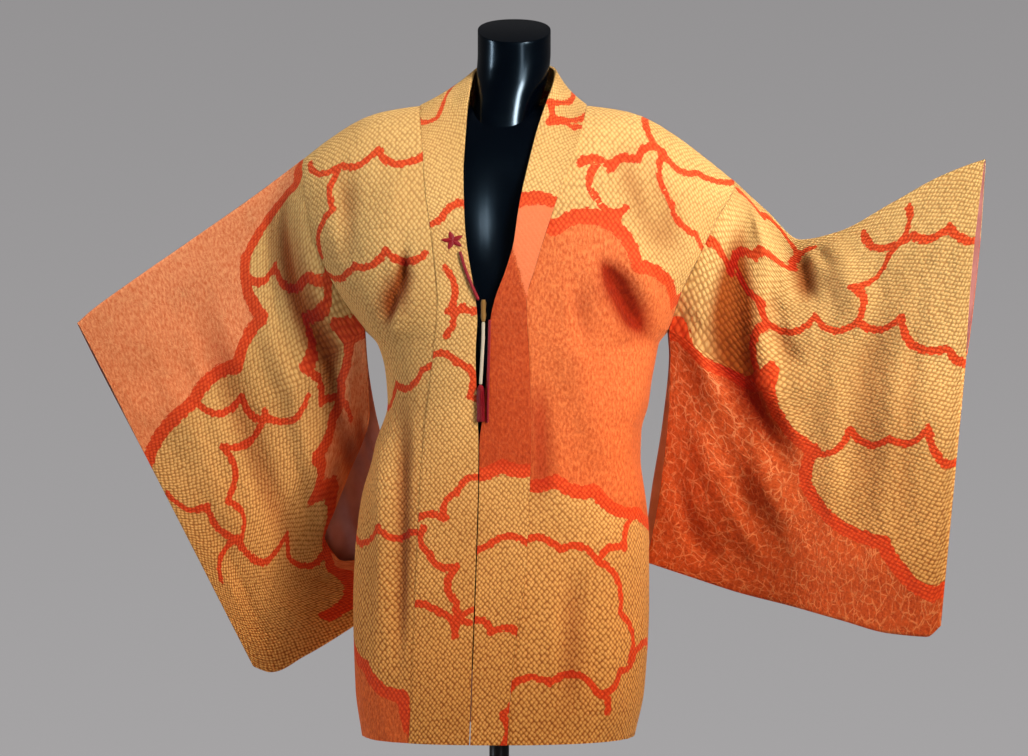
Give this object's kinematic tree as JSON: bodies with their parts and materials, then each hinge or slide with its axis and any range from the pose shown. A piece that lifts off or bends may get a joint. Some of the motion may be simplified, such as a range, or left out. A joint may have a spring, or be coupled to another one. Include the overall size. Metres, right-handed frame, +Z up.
{
  "type": "kimono jacket on a dress form with stand",
  "caption": "Hip-length kimono jacket with deep open sleeves, a long collar and a tasselled tie, shown on a limbless dress form with a pole stand.",
  "frame": {"origin": "middle of the stand's underside, on the axis of the pole, where the base rests on the floor", "axes": "+Z up; the jacket's front faces -Y; the wearer's left is +X"},
  "size_m": [1.1213, 0.3786, 1.5126],
  "materials": {
    "gold_crepe": "gold tie-dyed silk crepe with vermilion cloud lines and areas, soft sheen",
    "collar_crepe": "the same tie-dyed crepe, two to four layers thick",
    "pink_lining": "dusty pink smooth silk lining",
    "crimson_silk": "crimson silk cord, tassel and ornament",
    "cream_silk": "cream and grey braided silk cord",
    "bound_gold": "brown gold bound thread",
    "black_gloss": "high gloss blue black",
    "black_paint": "satin black powder coat"
  },
  "bodies": {
    "root": {"body_panel_right": "gold_crepe", "body_panel_left": "gold_crepe", "gusset_right": "gold_crepe", "gusset_left": "gold_crepe", "sleeve_right": "gold_crepe", "sleeve_left": "gold_crepe", "collar": "collar_crepe", "sleeve_lining_right": "pink_lining", "leaf_ornament": "crimson_silk", "tie_strand": "crimson_silk", "tie_knot": "bound_gold", "tie_tail_cream": "cream_silk", "tie_tail_crimson": "crimson_silk", "tie_tassel": "crimson_silk", "form_torso": "black_gloss", "form_neck": "black_gloss", "stand_pole": "black_paint", "stand_base": "black_paint"}
  },
  "joints": []
}
